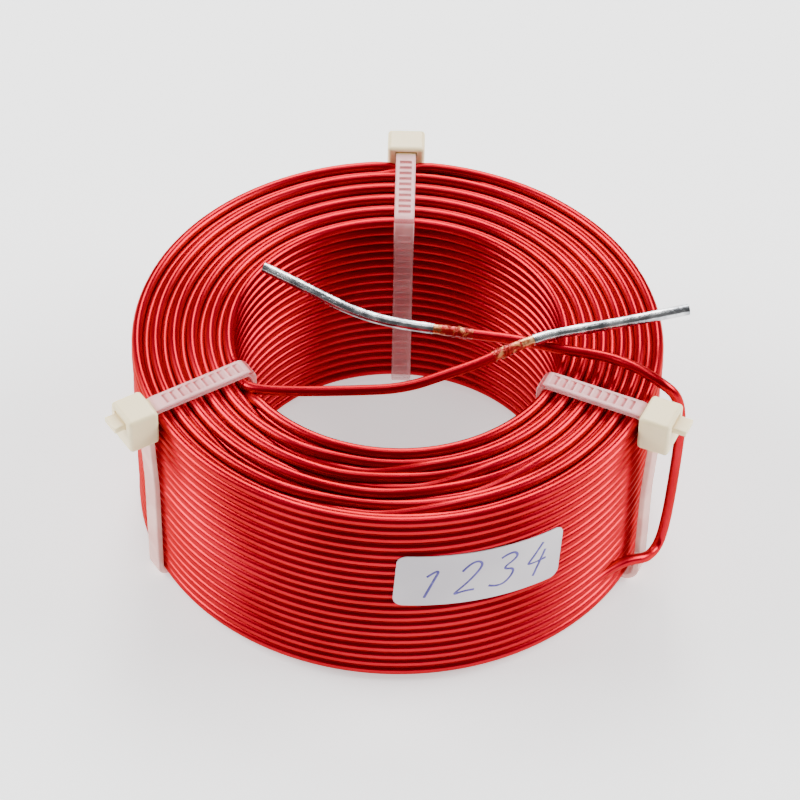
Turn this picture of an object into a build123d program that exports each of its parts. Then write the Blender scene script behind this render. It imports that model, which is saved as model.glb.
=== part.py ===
from build123d import *
from math import asin, atan2, hypot, radians, sin, sqrt, tan
import os

# Air-cored crossover inductor: one length of enamelled copper wire wound in nested layers
# without a former, held by three nylon cable ties, with both ends of the wire led out over
# the top, stripped and tinned. Millimetres, +Z up. The origin is on the axis of the coil,
# in the plane that the coil stands on.

# Enamelled wire
WIRE_D = 1.325
COPPER_D = 1.25
TURN_GAP = 0.045
VALLEY_WEB = 0.25

# Coil
TURNS_HIGH = 20
LAYERS = 11
BORE_R = 20.33

# Cable ties
STRAP_W = 2.6
STRAP_T = 0.8
STRAP_EDGE_R = 0.2
SEAT_GAP = 0.02
TOOTH_PITCH = 1.1
TOOTH_DEPTH = 0.3
TOOTH_LAND = 0.22
CHANNEL_W = 1.6
HEAD_DEPTH = 4.05
HEAD_W = 4.9
HEAD_H = 4.9
HEAD_EDGE_R = 0.52
HEAD_GAP = 0.15
SLOT_DOWN = 1.3
SLOT_GAP_W = 0.2
SLOT_GAP_T = 0.35
PAWL_L = 1.6
ROOT_OUT = 0.4
ROOT_TAPER_L = 9.0

# Lead ends
TIN_T = 0.07
START_TIN_L = 20.0
START_BAND_L = 1.7
FINISH_TIN_L = 23.4
FINISH_BAND_L = 1.0

# Paper label on the outer wall
LABEL_L = 21.4
LABEL_H = 8.4
LABEL_T = 0.12
LABEL_CORNER_R = 1.2
LABEL_AZIMUTH = -71.1
LABEL_Z = 17.63
LABEL_TILT = 3.3

# Worked out from the sizes above
WIRE_R = WIRE_D / 2
TURN_PITCH = WIRE_D + TURN_GAP
LAYER_PITCH = sqrt(WIRE_D**2 - (TURN_PITCH / 2) ** 2)
COIL_R = BORE_R + WIRE_D + (LAYERS - 1) * LAYER_PITCH
COIL_Z0 = STRAP_T + SEAT_GAP
COIL_H = WIRE_D + (TURNS_HIGH - 1) * TURN_PITCH
COIL_TOP = COIL_Z0 + COIL_H
OUTER_TURN_R = COIL_R - WIRE_R
INNER_TURN_R = BORE_R + WIRE_R
LOW_TURN_Z = COIL_Z0 + WIRE_R
TOP_TURN_Z = COIL_TOP - WIRE_R

# Each tie lies in an upright plane: its azimuth in degrees, how far that plane passes beside
# the axis, how much higher its head sits than flush with the strap, how far its outer leg
# stands off the wall, and how much of its trimmed tail is left
LEFT_AZIMUTH = -146.8
LEFT_BESIDE = -3.6
LEFT_LIFT = 0.63
LEFT_STAND_OFF = 0.0
LEFT_TAIL_L = 1.4
RIGHT_AZIMUTH = -23.9
RIGHT_BESIDE = -0.7
RIGHT_LIFT = 0.53
RIGHT_STAND_OFF = 0.86
RIGHT_TAIL_L = 1.7
BACK_AZIMUTH = 89.7
BACK_BESIDE = -0.4
BACK_LIFT = 0.82
BACK_STAND_OFF = 0.0
BACK_TAIL_L = 0.5

TIES = {
    "left": (LEFT_AZIMUTH, LEFT_BESIDE, LEFT_LIFT, LEFT_STAND_OFF, LEFT_TAIL_L),
    "right": (RIGHT_AZIMUTH, RIGHT_BESIDE, RIGHT_LIFT, RIGHT_STAND_OFF, RIGHT_TAIL_L),
    "back": (BACK_AZIMUTH, BACK_BESIDE, BACK_LIFT, BACK_STAND_OFF, BACK_TAIL_L),
}

# Hand-formed routes of the two leads, from the coil to the tip: azimuth in degrees, then
# across, which is 0 on the axis, 1 at the innermost turn and 2 at the outermost, then level,
# which is 0 at the lowest turn and 1 at the top one. The start lead leaves the innermost top
# turn under the left tie. The finish lead leaves the fourth outer turn from the bottom,
# crosses the foot of the right tie and climbs behind its head.
START_ROUTE = [
    (-165, 1.0, 1.0),
    (-157, 1.0, 1.0),
    (-151.5, 1.0, 1.0),
    (-146.4, 0.938, 1.0101),
    (-136.5, 0.788, 1.0255),
    (-115.8, 0.614, 1.0447),
    (-85.6, 0.554, 1.0658),
    (-56.9, 0.54, 1.0908),
    (-37.4, 0.612, 1.1061),
    (-20.5, 0.722, 1.1215),
    (-9.4, 0.917, 1.133),
    (-4.0, 1.412, 1.1445),
    (1.8, 2.307, 1.1561),
]
FINISH_ROUTE = [
    (-45.0, 2.0, 0.1579),
    (-38.5, 2.0, 0.1579),
    (-33.0, 2.076, 0.1639),
    (-30.0, 2.173, 0.1639),
    (-27.6, 2.27, 0.1467),
    (-25.3, 2.292, 0.1236),
    (-22.9, 2.314, 0.1236),
    (-21.0, 2.336, 0.1697),
    (-20.1, 2.358, 0.308),
    (-19.8, 2.376, 0.4886),
    (-18.9, 2.383, 0.6922),
    (-17.4, 2.376, 0.8535),
    (-17.4, 2.314, 1.0178),
    (-17.8, 2.121, 1.0908),
    (-15.7, 1.787, 1.1138),
    (-13.3, 1.45, 1.0984),
    (-12.2, 0.994, 1.0754),
    (-9.3, 0.738, 1.0619),
    (-9.0, 0.487, 1.06),
    (-12.8, 0.215, 1.0716),
    (-163.3, 0.05, 1.0831),
    (167.4, 0.283, 1.0946),
    (156.5, 0.634, 1.1138),
    (154.9, 0.889, 1.133),
]
ROUTE_ROUNDING = 0.45
JOINT_SNAP = 0.02


def turn_centres():
    """Centres of the turns in the half section, layer by layer from the bore outwards."""
    layers = []
    for layer in range(LAYERS):
        short = layer % 2
        x = INNER_TURN_R + layer * LAYER_PITCH
        z0 = LOW_TURN_Z + short * TURN_PITCH / 2
        layers.append([(x, z0 + i * TURN_PITCH) for i in range(TURNS_HIGH - short)])
    return layers


def coil_section():
    """The turns that show on the four sides of the winding, on a body with shallow valleys."""
    layers = turn_centres()
    top = [column[-1] for column in layers[1:-1]]
    bottom = [column[0] for column in layers[1:-1]]
    outline = layers[0] + top + layers[-1][::-1] + bottom[::-1]
    with BuildSketch(Plane.XZ) as section:
        with BuildLine():
            Polyline(*outline, close=True)
        make_face()
        offset(amount=VALLEY_WEB, kind=Kind.INTERSECTION)
        with Locations(*outline):
            Circle(WIRE_R)
    return section.sketch


def beside_coil(azimuth, across, level):
    """A point of a route, placed by the turns of the coil."""
    if across < 1:
        radius = across * INNER_TURN_R
    else:
        radius = INNER_TURN_R + (across - 1) * (OUTER_TURN_R - INNER_TURN_R)
    height = LOW_TURN_Z + level * (TOP_TURN_Z - LOW_TURN_Z)
    return Vector(radius, 0, height).rotate(Axis.Z, azimuth)


def lead_path(route):
    """Straight runs joined by tangent arcs, each as large as its two runs allow."""
    points = [beside_coil(*place) for place in route]
    radii = []
    for before, here, after in zip(points, points[1:], points[2:]):
        shorter = min((here - before).length, (after - here).length)
        turn = radians((here - before).get_angle(after - here))
        radii.append(ROUTE_ROUNDING * shorter / tan(turn / 2))
    print("bend radii", [round(r, 1) for r in radii])
    return FilletPolyline(*points, radius=radii)


def snapped(path, distance):
    """A distance along a path, moved onto the nearest joint of two runs if that is close by."""
    joint = 0
    for edge in path.order_edges():
        joint += edge.length
        if abs(joint - distance) < JOINT_SNAP:
            return joint
    return distance


def stretch(path, start, end):
    """The part of a path between two distances along it."""
    pieces = []
    passed = 0
    for edge in path.order_edges():
        near = max(start - passed, 0)
        far = min(end - passed, edge.length)
        if far - near > JOINT_SNAP / 2:
            pieces.append(edge.trim(near / edge.length, far / edge.length))
        passed += edge.length
    return Wire(pieces)


def round_wire(path, diameter):
    """A round wire along a path."""
    return sweep(Plane(path @ 0, z_dir=path % 0) * Circle(diameter / 2), path=path)


def lead(route, tin_length, band_length):
    """One lead: enamelled wire, then bare copper, and the solder coat on its tinned end."""
    path = lead_path(route)
    tin_from = snapped(path, path.length - tin_length)
    enamel_to = snapped(path, path.length - tin_length - band_length)
    copper_to = path.length - TIN_T
    enamelled = round_wire(stretch(path, 0, enamel_to), WIRE_D)
    copper = round_wire(stretch(path, enamel_to, copper_to), COPPER_D)
    coat = round_wire(stretch(path, tin_from, path.length), COPPER_D + 2 * TIN_T) - copper
    return enamelled + copper, coat


def beyond(radius, beside):
    """How far out a circle reaches under a flat strap that passes beside the axis."""
    return sqrt(radius**2 - max(0, abs(beside) - STRAP_W / 2) ** 2)


def within(radius, beside):
    """How far in a flat strap beside the axis has to stay to clear a circle round it."""
    return sqrt(radius**2 - (abs(beside) + STRAP_W / 2) ** 2)


def strap_path(beside, head_lift, stand_off, tail_length):
    """Centre line of a strap: down from its head, round the coil and out through the slot."""
    half = STRAP_T / 2
    outer = beyond(COIL_R, beside) + SEAT_GAP + half + stand_off
    inner = within(BORE_R, beside) - SEAT_GAP - half
    edge = beyond(OUTER_TURN_R, beside)
    top = COIL_TOP + SEAT_GAP + half
    slot = head_top(head_lift) - SLOT_DOWN
    root = head_top(head_lift) - HEAD_H
    head_in = COIL_R + HEAD_GAP
    head_out = head_in + HEAD_DEPTH
    bend = WIRE_R + SEAT_GAP + half
    # The strap leaves the outermost top turn along a tangent to it, down or up to the slot
    away = head_in + half - edge
    down = asin(bend / hypot(away, slot - TOP_TURN_Z)) - atan2(slot - TOP_TURN_Z, away)
    points = [
        (outer + ROOT_OUT, 0, root + half),
        (outer + ROOT_OUT, 0, root - half),
        (outer, 0, root - ROOT_TAPER_L),
        (outer, 0, half),
        (inner, 0, half),
        (inner, 0, top),
        (edge + bend * tan(down / 2), 0, top),
        (head_in + half, 0, slot),
        (head_out + tail_length, 0, slot),
    ]
    radii = [bend, bend, bend + stand_off, bend, bend, bend, bend]
    return FilletPolyline(*points, radius=radii)


def head_top(head_lift):
    """Height of the top of a tie's head."""
    return COIL_TOP + SEAT_GAP + STRAP_T + head_lift


def tooth_notches(beside):
    """Saw-tooth notches in the channel of the strap, up the bore and across the top."""
    with BuildSketch(Plane.XZ) as profile:
        with BuildLine():
            length = TOOTH_PITCH - TOOTH_LAND
            Polyline((0, 0), (length, -TOOTH_DEPTH), (length, TOOTH_DEPTH), (0, TOOTH_DEPTH), close=True)
        make_face()
    notch = extrude(profile.sketch, amount=CHANNEL_W / 2, both=True)
    bend = WIRE_R + SEAT_GAP + STRAP_T
    inner_face = within(BORE_R, beside) - SEAT_GAP - STRAP_T
    top_face = COIL_TOP + SEAT_GAP + STRAP_T
    across = OUTER_TURN_R - inner_face - bend
    upward = COIL_H - 2 * WIRE_R
    notches = []
    for i in range(int(across / TOOTH_PITCH)):
        notches.append(Pos(inner_face + bend + i * TOOTH_PITCH, 0, top_face) * notch)
    for i in range(int(upward / TOOTH_PITCH)):
        place = Pos(inner_face, 0, LOW_TURN_Z + i * TOOTH_PITCH)
        notches.append(place * Rot(Y=-90) * notch)
    return notches


def tie_head(head_lift):
    """The moulded head: a soft-edged block with a slot for the strap and a pawl in the slot."""
    x0 = COIL_R + HEAD_GAP
    top = head_top(head_lift)
    middle = (x0 + HEAD_DEPTH / 2, 0, top - HEAD_H / 2)
    block = Pos(*middle) * Box(HEAD_DEPTH, HEAD_W, HEAD_H)
    block = fillet(block.edges(), HEAD_EDGE_R)
    slot_z = top - SLOT_DOWN + SLOT_GAP_T / 2
    slot = Box(2 * HEAD_DEPTH, STRAP_W + SLOT_GAP_W, STRAP_T + SLOT_GAP_T)
    block -= Pos(x0 + HEAD_DEPTH / 2, 0, slot_z) * slot
    strap_top = top - SLOT_DOWN + STRAP_T / 2
    roof = strap_top + SLOT_GAP_T
    with BuildSketch(Plane.XZ) as profile:
        with BuildLine():
            x_mid = x0 + HEAD_DEPTH / 2
            Polyline(
                (x_mid - PAWL_L / 2, roof + TOOTH_DEPTH),
                (x_mid - PAWL_L / 2, roof),
                (x_mid + PAWL_L / 2, strap_top + SEAT_GAP),
                (x_mid + PAWL_L / 2, roof + TOOTH_DEPTH),
                close=True,
            )
        make_face()
    return block + extrude(profile.sketch, amount=CHANNEL_W / 2, both=True)


def cable_tie(azimuth, beside, head_lift, stand_off, tail_length):
    """One nylon tie: strap, teeth, head and trimmed tail, closed round the coil's section."""
    path = strap_path(beside, head_lift, stand_off, tail_length)
    section = Plane(path @ 0, x_dir=(0, 1, 0), z_dir=path % 0)
    strap = sweep(section * RectangleRounded(STRAP_W, STRAP_T, STRAP_EDGE_R), path=path)
    strap -= tooth_notches(beside)
    return Rot(Z=azimuth) * Pos(0, beside, 0) * (tie_head(head_lift) + strap)


def paper_label():
    """A sheet with rounded corners, stuck round the outer wall and tilted."""
    inner = COIL_R + SEAT_GAP
    sheet = Cylinder(inner + LABEL_T, COIL_H, align=(Align.CENTER, Align.CENTER, Align.MIN))
    sheet -= Cylinder(inner, COIL_H, align=(Align.CENTER, Align.CENTER, Align.MIN))
    chord = 2 * inner * sin(LABEL_L / (2 * inner))
    face = Plane.YZ.offset(inner / 2) * Rot(Z=-LABEL_TILT) * RectangleRounded(chord, LABEL_H, LABEL_CORNER_R)
    cutter = Pos(0, 0, LABEL_Z - COIL_Z0) * extrude(face, amount=COIL_R)
    return Rot(Z=LABEL_AZIMUTH) * Pos(0, 0, COIL_Z0) * (sheet & cutter)


def write(name, shape):
    """Write one node's STEP file."""
    export_step(shape, f"parts/{name}.step")


os.makedirs("parts", exist_ok=True)
start_wire, start_coat = lead(START_ROUTE, START_TIN_L, START_BAND_L)
finish_wire, finish_coat = lead(FINISH_ROUTE, FINISH_TIN_L, FINISH_BAND_L)
coil = revolve(coil_section(), axis=Axis.Z)
write("winding", coil + start_wire + finish_wire)
write("start_lead_tinning", start_coat)
write("finish_lead_tinning", finish_coat)
for side, place in TIES.items():
    write(f"cable_tie_{side}", cable_tie(*place))
write("label", paper_label())
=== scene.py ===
import math
import random

import bpy
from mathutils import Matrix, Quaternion, Vector


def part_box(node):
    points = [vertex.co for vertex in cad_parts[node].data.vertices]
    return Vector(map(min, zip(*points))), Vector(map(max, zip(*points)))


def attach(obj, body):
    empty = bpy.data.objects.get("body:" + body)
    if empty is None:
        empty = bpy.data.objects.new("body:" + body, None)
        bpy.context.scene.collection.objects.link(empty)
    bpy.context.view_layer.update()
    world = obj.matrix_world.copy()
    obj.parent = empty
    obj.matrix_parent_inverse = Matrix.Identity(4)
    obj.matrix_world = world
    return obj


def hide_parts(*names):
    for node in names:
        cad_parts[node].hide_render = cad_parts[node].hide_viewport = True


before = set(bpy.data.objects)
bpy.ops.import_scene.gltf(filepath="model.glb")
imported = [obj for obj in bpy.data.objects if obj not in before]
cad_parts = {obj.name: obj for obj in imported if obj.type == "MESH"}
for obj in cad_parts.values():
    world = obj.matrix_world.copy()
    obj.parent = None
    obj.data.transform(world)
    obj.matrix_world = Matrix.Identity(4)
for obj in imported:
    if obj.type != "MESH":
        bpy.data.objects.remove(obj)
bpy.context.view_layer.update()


# The winding: one length of copper wire in red enamel, laid in eleven nested layers without
# a former. Each turn runs level and steps across to the next over a short stretch, and the
# even layers stand half a turn higher than the odd ones that lie in their valleys. Only the
# turns that show are made: those of the bore, the outer wall, the top and the bottom.
WIRE_R = 0.001325 / 2
TURN_PITCH = 0.00137
LAYER_PITCH = math.sqrt((2 * WIRE_R) ** 2 - (TURN_PITCH / 2) ** 2)
TURNS_HIGH = 20
LAYERS = 11
BORE_TURN_R = 0.02033 + WIRE_R
OUTER_TURN_R = BORE_TURN_R + (LAYERS - 1) * LAYER_PITCH
LOW_TURN_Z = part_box("winding")[0][2] + WIRE_R
TOP_TURN_Z = LOW_TURN_Z + (TURNS_HIGH - 1) * TURN_PITCH
VALLEY_Z = TOP_TURN_Z - TURN_PITCH / 2
FULL_TURN, OPEN_TURN = 360, 340
LAID_STEP = 2.5
STEP_ARC = 13
START_LEAD_AT = -151.5
BORE_STEP_AT = -154
OUTER_STEP_AT = 96
TOP_STEP_ARC = 24
LAYER_STEPS_AT = {1: -101, 3: -86, 5: -74, 7: -97}
TURN_WANDER = 0.000022
WIRE_SIDES_SETTING = 3

random.seed(7)


class Shade:
    """A socket in a material's nodes. Sums and products of these add Math nodes."""

    def __init__(self, tree, socket=None):
        self.tree = tree
        self.socket = socket

    def add(self, kind, settings, inputs, output=0):
        """Adds one node, with its settings first, then the values or links of its sockets."""
        node = self.tree.nodes.new(kind)
        for name, value in settings.items():
            setattr(node, name, value)
        for name, value in inputs.items():
            if isinstance(value, Shade):
                self.tree.links.new(value.socket, node.inputs[name])
            else:
                node.inputs[name].default_value = value
        return Shade(self.tree, node.outputs[output])

    def maths(self, operation, *values):
        return self.add("ShaderNodeMath", {"operation": operation}, dict(enumerate(values)))

    def __add__(self, other):
        return self.maths("ADD", self, other)

    __radd__ = __add__

    def __sub__(self, other):
        return self.maths("SUBTRACT", self, other)

    def __rsub__(self, other):
        return self.maths("SUBTRACT", other, self)

    def __mul__(self, other):
        return self.maths("MULTIPLY", self, other)

    __rmul__ = __mul__

    def colours(self, low, high):
        """This value as the way from one colour to another, each given as a value or a socket."""
        settings = {"data_type": "RGBA", "clamp_factor": True}
        return self.add("ShaderNodeMix", settings, {0: self, 6: low, 7: high}, 2)

    def band(self, start, end):
        """0 below start, 1 above end, with a soft step between."""
        settings = {"interpolation_type": "SMOOTHSTEP"}
        return self.add("ShaderNodeMapRange", settings, {0: self, 1: start, 2: end})


def new_material(name):
    """An empty material, with a starting point for its nodes and its output node."""
    material = bpy.data.materials.new(name)
    material.use_nodes = True
    material.node_tree.nodes.clear()
    start = Shade(material.node_tree)
    output = material.node_tree.nodes.new("ShaderNodeOutputMaterial")
    return material, start, output


def place_and_noise(start, scale, detail=2.0):
    """The place in the part, and a soft noise over it."""
    place = start.add("ShaderNodeTexCoord", {}, {}, "Object")
    noise = start.add("ShaderNodeTexNoise", {}, {"Vector": place, "Scale": scale, "Detail": detail})
    return place, noise


def surface(start, output, inputs, height=None, bump=0.1):
    """The Principled surface of a material, with an optional bump."""
    if height is not None:
        inputs["Normal"] = start.add(
            "ShaderNodeBump", {}, {"Strength": bump, "Distance": 0.0001, "Height": height}
        )
    shader = start.add("ShaderNodeBsdfPrincipled", {}, inputs)
    start.tree.links.new(shader.socket, output.inputs["Surface"])


def red_enamel():
    """Clear red enamel over bright copper: it reflects as red metal under a thin gloss."""
    material, start, output = new_material("red_enamel")
    _, drift = place_and_noise(start, 90.0)
    colour = drift.band(0.35, 0.65).colours((0.37, 0.0, 0.010, 1), (0.46, 0.001, 0.017, 1))
    inputs = {
        "Base Color": colour,
        "Metallic": 0.86,
        "Roughness": 0.27 + 0.07 * drift,
        "Specular Tint": (1.0, 0.12, 0.16, 1),
        "Coat Weight": 0.03,
        "Coat Roughness": 0.08,
    }
    surface(start, output, inputs)
    return material


def wire_piece(name, runs, radius, material, closed=False):
    """A piece made of one or more runs of round wire."""
    curve = bpy.data.curves.new(name, "CURVE")
    curve.dimensions = "3D"
    curve.bevel_depth = radius
    curve.bevel_resolution = WIRE_SIDES_SETTING
    curve.use_fill_caps = True
    for run in runs:
        spline = curve.splines.new("POLY")
        spline.points.add(len(run) - 1)
        for point, place in zip(spline.points, run):
            point.co = (*place[:3], 1)
            point.radius = place[3] if len(place) > 3 else 1
        spline.use_cyclic_u = closed
    piece = bpy.data.objects.new(name, curve)
    bpy.context.collection.objects.link(piece)
    curve.materials.append(material)
    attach(piece, "root")
    return piece


def round_coil(azimuth, radius, height):
    angle = math.radians(azimuth)
    return Vector((radius * math.cos(angle), radius * math.sin(angle), height))


def laid(stations):
    """Wire laid round the coil, easing from each station's radius and height to the next."""
    phases = [random.uniform(0, math.tau) for _ in range(2)]
    points = []
    for (a0, r0, z0), (a1, r1, z1) in zip(stations, stations[1:]):
        steps = max(2, round(abs(a1 - a0) / LAID_STEP))
        for i in range(steps):
            t = i / steps
            eased = t * t * (3 - 2 * t)
            azimuth = a0 + (a1 - a0) * t
            turn = math.radians(azimuth)
            slow_wave = math.sin(3 * turn / 1.7 + phases[0])
            fast_wave = math.sin(2.3 * turn + phases[1])
            wander = TURN_WANDER * (slow_wave + fast_wave)
            points.append(round_coil(azimuth, r0 + (r1 - r0) * eased + wander, z0 + (z1 - z0) * eased))
    points.append(round_coil(*stations[-1]))
    return points


def steps_down(radius, step_at, arc, height, turns):
    """Level turns, each stepping down to the next over one short stretch."""
    stations = []
    for i in range(turns):
        stations.append((step_at + arc - FULL_TURN * i, radius, height - i * TURN_PITCH))
        stations.append((step_at - FULL_TURN * i, radius, height - (i + 1) * TURN_PITCH))
    return stations


enamel = red_enamel()
layer_r = [BORE_TURN_R + layer * LAYER_PITCH for layer in range(LAYERS)]


def layer_change(layer, step_at, arc, turns_below, lap=0):
    """A layer's top turn, the step out of its valley onto the next layer, and the turns below.
    With a lap those step down that much further on. It keeps the rim's outline whole, but the
    wire coming up and the turn after it then share one place for a short stretch."""
    inner, outer = layer_r[layer], layer_r[layer + 1]
    return laid([
        (step_at + OPEN_TURN, inner, VALLEY_Z - TURN_PITCH),
        (step_at - arc, inner, VALLEY_Z - TURN_PITCH),
        (step_at - 2 * arc, inner, VALLEY_Z),
        (step_at - FULL_TURN, inner, VALLEY_Z),
        (step_at - FULL_TURN - arc, outer, TOP_TURN_Z),
    ] + steps_down(outer, step_at - 2 * FULL_TURN - lap, arc, TOP_TURN_Z, turns_below))


bore_stations = [(START_LEAD_AT, layer_r[0], TOP_TURN_Z)]
first_bore_step = BORE_STEP_AT - FULL_TURN
bore_stations += steps_down(layer_r[0], first_bore_step, STEP_ARC, TOP_TURN_Z, TURNS_HIGH - 1)
bore_stations.append((BORE_STEP_AT - FULL_TURN * TURNS_HIGH, layer_r[0], LOW_TURN_Z))
bore_layer = wire_piece("winding_bore_layer", [laid(bore_stations)], WIRE_R, enamel)

outer_run = layer_change(LAYERS - 2, OUTER_STEP_AT, STEP_ARC, TURNS_HIGH - 1, lap=STEP_ARC)
last_turn = laid([
    (OUTER_STEP_AT - STEP_ARC, layer_r[-1], LOW_TURN_Z),
    (OUTER_STEP_AT - STEP_ARC - FULL_TURN, layer_r[-1], LOW_TURN_Z),
])
outer_layer = wire_piece("winding_outer_layer", [outer_run, last_turn], WIRE_R, enamel)

top_runs = []
for layer, step_at in LAYER_STEPS_AT.items():
    second_from = step_at - 2 * FULL_TURN
    second = [(second_from, layer_r[layer + 1], TOP_TURN_Z - TURN_PITCH)]
    second.append((second_from - OPEN_TURN, layer_r[layer + 1], TOP_TURN_Z - TURN_PITCH))
    top_runs += [layer_change(layer, step_at, TOP_STEP_ARC, 1), laid(second)]
top_turns = wire_piece("winding_top_turns", top_runs, WIRE_R, enamel)

bottom_runs = []
for layer in range(1, LAYERS - 1):
    height = LOW_TURN_Z + (layer % 2) * TURN_PITCH / 2
    ring = laid([(0, layer_r[layer], height), (FULL_TURN, layer_r[layer], height)])
    bottom_runs.append(ring[:-1])
bottom_turns = wire_piece("winding_bottom_turns", bottom_runs, WIRE_R, enamel, closed=True)

for piece in (bore_layer, outer_layer, top_turns, bottom_turns):
    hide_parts("winding")


# The two leads: the ends of the same wire, bent by hand and led out over the top. Each end
# is scraped, which leaves a copper band beside frayed enamel, and dipped in solder.
START_ROUTE = [
    (-165, 1.0, 1.0),
    (-157, 1.0, 1.0),
    (-151.5, 1.0, 1.0),
    (-146.4, 0.938, 1.0101),
    (-136.5, 0.788, 1.0255),
    (-115.8, 0.614, 1.0447),
    (-85.6, 0.554, 1.0658),
    (-56.9, 0.54, 1.0908),
    (-37.4, 0.612, 1.1061),
    (-20.5, 0.722, 1.1215),
    (-9.4, 0.917, 1.133),
    (-4.0, 1.412, 1.1445),
    (1.8, 2.307, 1.1561),
]
FINISH_ROUTE = [
    (-45.0, 2.0, 0.1579),
    (-38.5, 2.0, 0.1579),
    (-33.0, 2.076, 0.1639),
    (-30.0, 2.173, 0.1639),
    (-27.6, 2.27, 0.1466),
    (-25.3, 2.292, 0.1236),
    (-22.9, 2.314, 0.1236),
    (-21.0, 2.336, 0.1697),
    (-20.1, 2.358, 0.308),
    (-19.8, 2.376, 0.4886),
    (-18.9, 2.383, 0.6922),
    (-17.4, 2.376, 0.8535),
    (-17.4, 2.314, 1.0178),
    (-17.8, 2.121, 1.0908),
    (-15.7, 1.787, 1.1138),
    (-13.3, 1.45, 1.0984),
    (-12.2, 0.994, 1.0754),
    (-9.3, 0.738, 1.0619),
    (-9.0, 0.487, 1.06),
    (-12.8, 0.215, 1.0716),
    (-163.3, 0.05, 1.0831),
    (167.4, 0.283, 1.0946),
    (156.5, 0.634, 1.1138),
    (154.9, 0.889, 1.133),
]
COPPER_R = 0.00125 / 2
SOLDER_T = 0.00007
START_SOLDER_L, START_BAND_L = 0.0200, 0.0017
FINISH_SOLDER_L, FINISH_BAND_L = 0.0234, 0.0010
FRAY_L = 0.0038
FRAY_SPACING, FRAY_SWELL = 0.00022, 0.12
SOLDER_SPACING, SOLDER_SWELL = 0.0006, 0.035
TIP_CUT = 1e-6
SHREDS, SHRED_R = 5, 0.00006
SHRED_SPACING, SHRED_TWIST = 0.00008, 0.33
SHRED_POINTS, SHRED_LIFT = (12, 27), (0.2, 1.2)


def beside_coil(azimuth, across, level):
    """A point of a route: across is 1 at the bore's turns and 2 at the outer ones, and level
    is 0 at the lowest turn and 1 at the top one."""
    if across < 1:
        radius = across * BORE_TURN_R
    else:
        radius = BORE_TURN_R + (across - 1) * (OUTER_TURN_R - BORE_TURN_R)
    return round_coil(azimuth, radius, LOW_TURN_Z + level * (TOP_TURN_Z - LOW_TURN_Z))


def bent_line(route):
    """The smooth line of a hand-bent lead, read from a NURBS spline through its route."""
    curve = bpy.data.curves.new("lead_line", "CURVE")
    curve.dimensions = "3D"
    curve.resolution_u = 10
    spline = curve.splines.new("NURBS")
    spline.points.add(len(route) - 1)
    for point, place in zip(spline.points, route):
        point.co = (*beside_coil(*place), 1)
    spline.order_u = 3
    spline.use_endpoint_u = True
    holder = bpy.data.objects.new("lead_line", curve)
    bpy.context.collection.objects.link(holder)
    mesh = bpy.data.meshes.new_from_object(holder)
    line = [vertex.co.copy() for vertex in mesh.vertices]
    bpy.data.objects.remove(holder)
    bpy.data.meshes.remove(mesh)
    return line


def part_of(line, start, end):
    """The points of a line between two distances along it, both ends included."""
    points = []
    passed = 0.0
    for here, after in zip(line, line[1:]):
        length = (after - here).length
        for cut in (start, end):
            if passed <= cut < passed + length:
                points.append(here.lerp(after, (cut - passed) / length))
        if start < passed + length < end:
            points.append(after.copy())
        passed += length
    return points


def finely(points, spacing):
    """The same line with points at an even, close spacing."""
    result = [points[0]]
    for here, after in zip(points, points[1:]):
        count = max(1, round((after - here).length / spacing))
        result += [here.lerp(after, (i + 1) / count) for i in range(count)]
    return result


def uneven(points, amount):
    """The same points, each with its own thickness, for a coat that has run or frayed."""
    shaped = []
    swell = 0.0
    for point in points:
        swell = 0.6 * swell + 0.4 * random.uniform(-amount, amount)
        shaped.append((*point, 1 + swell))
    return shaped


def shreds(line):
    """Thin curls of enamel that the scraping left loose round the wire."""
    curls = []
    for _ in range(SHREDS):
        first = random.randrange(len(line) // 2)
        last = min(len(line) - 1, first + random.randrange(*SHRED_POINTS))
        phase = random.uniform(0, math.tau)
        curl = []
        for i in range(first, last):
            along = (line[i + 1] - line[i]).normalized()
            side = along.cross(Vector((0, 0, 1))).normalized()
            turn = phase + SHRED_TWIST * (i - first)
            out = side * math.cos(turn) + side.cross(along) * math.sin(turn)
            curl.append(line[i] + out * (WIRE_R + random.uniform(*SHRED_LIFT) * SHRED_R))
        curls.append(curl)
    return curls


def length_of(line):
    return sum((after - here).length for here, after in zip(line, line[1:]))


def solder_coat():
    """Bright tin-lead solder: mirror-like where it ran smooth, dull and pitted in places."""
    material, start, output = new_material("solder_coat")
    place, drift = place_and_noise(start, 420.0)
    pits = start.add("ShaderNodeTexNoise", {}, {"Vector": place, "Scale": 1900.0, "Detail": 3.0})
    colour = drift.band(0.4, 0.62).colours((0.32, 0.33, 0.35, 1), (0.80, 0.81, 0.82, 1))
    inputs = {"Base Color": colour, "Metallic": 1.0, "Roughness": 0.12 + 0.22 * drift}
    surface(start, output, inputs, pits, 0.5)
    return material


def scraped_copper():
    """Bare copper with scorched enamel in its scratches."""
    material, start, output = new_material("scraped_copper")
    place, scratches = place_and_noise(start, 1500.0, 4.0)
    colour = scratches.band(0.4, 0.6).colours((0.45, 0.13, 0.05, 1), (0.92, 0.48, 0.22, 1))
    inputs = {"Base Color": colour, "Metallic": 0.9, "Roughness": 0.32}
    surface(start, output, inputs, scratches, 0.6)
    return material


def frayed_enamel():
    """Enamel that has blistered and cracked beside the solder."""
    material, start, output = new_material("frayed_enamel")
    place, flakes = place_and_noise(start, 1300.0, 4.0)
    colour = flakes.band(0.5, 0.66).colours((0.38, 0.006, 0.006, 1), (0.78, 0.30, 0.11, 1))
    inputs = {"Base Color": colour, "Metallic": 0.6, "Roughness": 0.28, "Coat Weight": 0.15}
    surface(start, output, inputs, flakes, 1.0)
    return material


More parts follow.
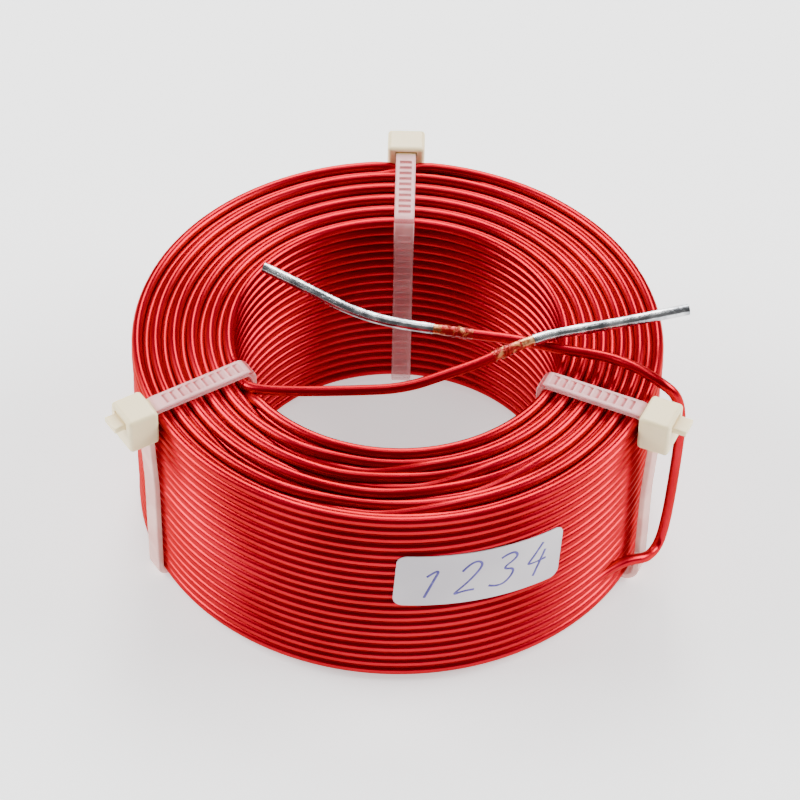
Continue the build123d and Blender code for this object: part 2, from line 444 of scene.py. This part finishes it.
solder, copper, fray = solder_coat(), scraped_copper(), frayed_enamel()
for name, route, solder_l, band_l in (
    ("start", START_ROUTE, START_SOLDER_L, START_BAND_L),
    ("finish", FINISH_ROUTE, FINISH_SOLDER_L, FINISH_BAND_L),
):
    line = bent_line(route)
    tip = length_of(line)
    coat_from = tip - solder_l
    band_from = coat_from - band_l
    fray_from = band_from - FRAY_L
    enamelled = wire_piece(f"winding_{name}_lead", [part_of(line, 0, fray_from)], WIRE_R, enamel)
    fray_line = finely(part_of(line, fray_from - WIRE_R / 4, band_from), FRAY_SPACING)
    frayed = wire_piece(f"{name}_frayed_enamel", [uneven(fray_line, FRAY_SWELL)], WIRE_R, fray)
    curled = finely(part_of(line, fray_from, band_from), SHRED_SPACING)
    curls = wire_piece(f"{name}_enamel_shreds", shreds(curled), SHRED_R, fray)
    band_line = part_of(line, band_from - WIRE_R, coat_from + WIRE_R)
    band = wire_piece(f"{name}_copper_band", [band_line], COPPER_R, copper)
    coat_line = uneven(finely(part_of(line, coat_from, tip - TIP_CUT), SOLDER_SPACING), SOLDER_SWELL)
    coat = wire_piece(f"{name}_solder_coat", [coat_line], COPPER_R + SOLDER_T, solder)
    for piece in (enamelled, frayed, curls, band):
        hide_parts("winding")
    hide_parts(f"{name}_lead_tinning")


# The three cable ties: natural nylon, each strap, head and trimmed tail moulded in one. Thin
# straps let the red wire show through, and the thick heads look milky.
HEAD_INNER_R = 0.03315
HEAD_LOW_Z = 0.0242
STRAP_T = 0.0008
NOTCH_DEPTH = 0.0003
STRAP_TOP_Z = TOP_TURN_Z + WIRE_R + STRAP_T
BORE_LEG_R = 0.0204
BEND_FADE = 0.003
HEAD_FADE_R, HEAD_FULL_R, HEAD_FADE_Z, LEG_FADE_R = 0.0004, 0.0001, 0.0012, 0.0003
STRAP_ALPHA = 0.64
NOTCH_CLEARS, BORE_PAINTED_SHADE, LEG_MORE_OPAQUE, CLOUD_CLEARS = 0.22, 0.46, 0.1, 0.2


def natural_nylon():
    """Milky nylon, clearer where thin as on the straps, which carry the wire's red painted in, painted
    shade in notches and edges, and painted shade down the bore.
    """
    material, start, output = new_material("natural_nylon")
    place, cloud = place_and_noise(start, 260.0)
    split = start.add("ShaderNodeSeparateXYZ", {}, {0: place})
    x, y, z = (Shade(start.tree, split.socket.node.outputs[axis]) for axis in "XYZ")
    from_axis = start.maths("SQRT", x * x + y * y)
    in_head = from_axis.band(HEAD_INNER_R - HEAD_FADE_R, HEAD_INNER_R + HEAD_FULL_R) * z.band(
        HEAD_LOW_Z - HEAD_FADE_Z, HEAD_LOW_Z
    )
    # Just under the strap's top, one band catches the notch floors and the strap's rounded edges.
    # There the nylon is made a little clearer and gets a painted shade of dark red with the wire's red
    # in it.
    near_top = z.band(STRAP_TOP_Z - 2 * NOTCH_DEPTH, STRAP_TOP_Z - 1.6 * NOTCH_DEPTH)
    on_rib = z.band(STRAP_TOP_Z - 0.7 * NOTCH_DEPTH, STRAP_TOP_Z - 0.3 * NOTCH_DEPTH)
    thin_notch_painted_shade = near_top * (1 - on_rib)
    # Down the bore, below the bend, the strap is made clearer than its thickness calls for. This is
    # painted shade, so the strap looks dim there.
    below_bend = 1 - z.band(TOP_TURN_Z - BEND_FADE, TOP_TURN_Z)
    in_bore = below_bend * (1 - from_axis.band(BORE_LEG_R - LEG_FADE_R, BORE_LEG_R))
    # The outer legs are drawn a little paler and more opaque than the rest of the strap.
    outer_leg = below_bend * from_axis.band(HEAD_INNER_R - HEAD_FADE_R, HEAD_INNER_R)
    # This mask makes the nylon clearer in the notches and in random patches, and it brings the painted
    # shade's dark red there.
    clear = start.maths("MAXIMUM", thin_notch_painted_shade, CLOUD_CLEARS * (1 - cloud.band(0.42, 0.58)))
    # The straps' pink is the red wire beneath, painted into the nylon's colour. It is a little paler
    # on the outer legs.
    painted_wire_red_strap = outer_leg.colours((1.0, 0.54, 0.54, 1), (1.0, 0.60, 0.52, 1))
    # The dark red is painted shade in the notches and along the strap's edges. The same tone also goes
    # into random clearer patches of the nylon.
    strap_colour = clear.colours(painted_wire_red_strap, (0.60, 0.11, 0.13, 1))
    colour = in_head.colours(strap_colour, (1.0, 0.81, 0.48, 1))
    strap_alpha = STRAP_ALPHA - NOTCH_CLEARS * clear + LEG_MORE_OPAQUE * outer_leg - BORE_PAINTED_SHADE * in_bore
    inputs = {
        "Base Color": colour,
        "Roughness": 0.34 + 0.08 * cloud,
        "Alpha": start.maths("MAXIMUM", strap_alpha, in_head),
        "Subsurface Weight": 0.25,
        "Subsurface Radius": (0.9, 0.8, 0.7),
        "Subsurface Scale": 0.0012,
    }
    surface(start, output, inputs, cloud, 0.15)
    return material


nylon = natural_nylon()
for name in ("cable_tie_left", "cable_tie_right", "cable_tie_back"):
    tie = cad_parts[name]
    tie.data.materials.clear()
    tie.data.materials.append(nylon)


# The label: a slip of matt white paper with rounded corners, stuck round the outer wall a
# little askew, with plain numbers written on it in blue-violet pen.
def label_paper():
    """Matt paper with a faint fibre and soft grey patches."""
    material, start, output = new_material("label_paper")
    place, fibre = place_and_noise(start, 900.0, 4.0)
    patches = start.add("ShaderNodeTexNoise", {}, {"Vector": place, "Scale": 130.0, "Detail": 1.0})
    colour = patches.band(0.3, 0.7).colours((0.60, 0.56, 0.60, 1), (0.68, 0.64, 0.67, 1))
    inputs = {"Base Color": colour, "Roughness": 0.72}
    surface(start, output, inputs, fibre, 0.35)
    return material


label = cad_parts["label"]
label.data.materials.clear()
label.data.materials.append(label_paper())


# The numbers on the label: plain digits in blue-violet pen, each stroke a thin raised line
# of ink that follows the paper round the coil.
LABEL_AZIMUTH, LABEL_Z, LABEL_TILT = -71.1, 0.01763, 3.3
DIGIT_W, DIGIT_H, DIGIT_STEP = 0.0027, 0.0048, 0.0045
FIRST_DIGIT = -0.0082
PEN_R, PEN_SUNK, PEN_SIDES_SETTING = 0.00033, 0.00027, 4
LABEL_GAP, PAPER_T = 0.00002, 0.00012
DIGIT_SLANT, DIGIT_CLIMB = 0.25, 0.05
DIGITS = [
    [[(0.15, 0.72), (0.62, 1.05), (0.52, 0.5), (0.45, -0.02)]],
    [[(0.05, 0.78), (0.35, 1.12), (1.0, 0.95), (0.6, 0.4), (0.0, -0.05), (0.5, 0.08), (1.0, 0.06)]],
    [[(0.1, 0.95), (0.55, 1.12), (1.05, 0.85), (0.3, 0.55), (1.15, 0.45), (0.75, -0.12), (0.0, 0.08)]],
    [[(0.5, 1.0), (0.2, 0.55), (0.0, 0.34), (1.0, 0.4)], [(0.78, 0.72), (0.7, 0.3), (0.64, -0.1)]],
]


def pen_ink():
    """Blue-violet ink, thinner where the pen skipped on the paper."""
    material, start, output = new_material("pen_ink")
    place, skip = place_and_noise(start, 1500.0)
    colour = skip.band(0.4, 0.7).colours((0.035, 0.022, 0.24, 1), (0.10, 0.075, 0.38, 1))
    surface(start, output, {"Base Color": colour, "Roughness": 0.5})
    return material


def on_label(across, up):
    """A point on the paper, with its tilt, wrapped round the wall."""
    tilt = math.radians(LABEL_TILT)
    side = across * math.cos(tilt) + up * math.sin(tilt)
    height = up * math.cos(tilt) - across * math.sin(tilt)
    paper_r = OUTER_TURN_R + WIRE_R + LABEL_GAP + PAPER_T
    azimuth = LABEL_AZIMUTH + math.degrees(side / paper_r)
    return round_coil(azimuth, paper_r - PEN_SUNK, LABEL_Z + height)


pen = bpy.data.curves.new("pen_numbers", "CURVE")
pen.dimensions = "3D"
pen.bevel_depth = PEN_R
pen.bevel_resolution = PEN_SIDES_SETTING
pen.use_fill_caps = True
for place, strokes in enumerate(DIGITS):
    for stroke in strokes:
        spline = pen.splines.new("NURBS")
        spline.points.add(len(stroke) - 1)
        for point, (u, v) in zip(spline.points, stroke):
            across = FIRST_DIGIT + place * DIGIT_STEP + u * DIGIT_W + v * DIGIT_SLANT * DIGIT_H
            up = (v - 0.5) * DIGIT_H + DIGIT_CLIMB * across
            point.co = (*on_label(across, up), 1)
        spline.order_u = 3
        spline.use_endpoint_u = True
pen.materials.append(pen_ink())
numbers = bpy.data.objects.new("pen_numbers", pen)
bpy.context.collection.objects.link(numbers)
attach(numbers, "root")


# The studio: a plain pale floor with a slight glow, soft boxes on both sides, behind and
# above, and a long lens that looks down on the front of the coil.
FLOOR_SIZE, FLOOR_GLOW = 4.0, 0.8
WORLD_LIGHT = 0.16
CAMERA_PLACE = (0, -0.28753, 0.29459)
CAMERA_TARGET = (0, 0, 0.01449)
CAMERA_ROLL = 1.212
LENS, SENSOR = 142.29, 36.0
SHIFT = (0.00457, 0.01095)
SOFT_BOXES = {
    "left_box": ((-0.60, 0.08, 0.42), (0.50, 0.36), 8.5),
    "right_box": ((0.60, 0.08, 0.42), (0.50, 0.36), 8.5),
    "back_box": ((0.0, 0.60, 0.55), (0.24, 0.70), 6.5),
    "top_box": ((0.0, 0.0, 0.90), (0.36, 0.36), 1.5),
}
BOXES_TARGET = (0, 0, 0.015)

floor_mesh = bpy.data.meshes.new("floor")
edge = FLOOR_SIZE / 2
corners = [(-edge, -edge, 0), (edge, -edge, 0), (edge, edge, 0), (-edge, edge, 0)]
floor_mesh.from_pydata(corners, [], [(0, 1, 2, 3)])
floor = bpy.data.objects.new("floor", floor_mesh)
bpy.context.collection.objects.link(floor)
pale, start, output = new_material("pale_floor")
_, grain = place_and_noise(start, 40.0)
floor_colour = grain.colours((0.9, 0.9, 0.9, 1), (0.92, 0.92, 0.92, 1))
glow = {"Emission Color": (1, 1, 1, 1), "Emission Strength": FLOOR_GLOW}
surface(start, output, {"Base Color": floor_colour, "Roughness": 0.8, **glow})
floor_mesh.materials.append(pale)

for name, (place, size, power) in SOFT_BOXES.items():
    light = bpy.data.lights.new(name, "AREA")
    light.shape = "RECTANGLE"
    light.size, light.size_y = size
    light.energy = power
    lamp = bpy.data.objects.new(name, light)
    lamp.location = place
    lamp.rotation_euler = (Vector(place) - Vector(BOXES_TARGET)).to_track_quat("Z", "Y").to_euler()
    bpy.context.collection.objects.link(lamp)

world = bpy.data.worlds.new("studio")
bpy.context.scene.world = world
world.use_nodes = True
world.node_tree.nodes["Background"].inputs["Color"].default_value = (1, 1, 1, 1)
world.node_tree.nodes["Background"].inputs["Strength"].default_value = WORLD_LIGHT

camera_data = bpy.data.cameras.new("camera")
camera_data.lens, camera_data.sensor_width = LENS, SENSOR
camera_data.shift_x, camera_data.shift_y = SHIFT
camera = bpy.data.objects.new("camera", camera_data)
aim = (Vector(CAMERA_PLACE) - Vector(CAMERA_TARGET)).to_track_quat("Z", "Y")
camera.rotation_mode = "QUATERNION"
camera.rotation_quaternion = aim @ Quaternion((0, 0, 1), math.radians(CAMERA_ROLL))
camera.location = CAMERA_PLACE
bpy.context.collection.objects.link(camera)
bpy.context.scene.camera = camera
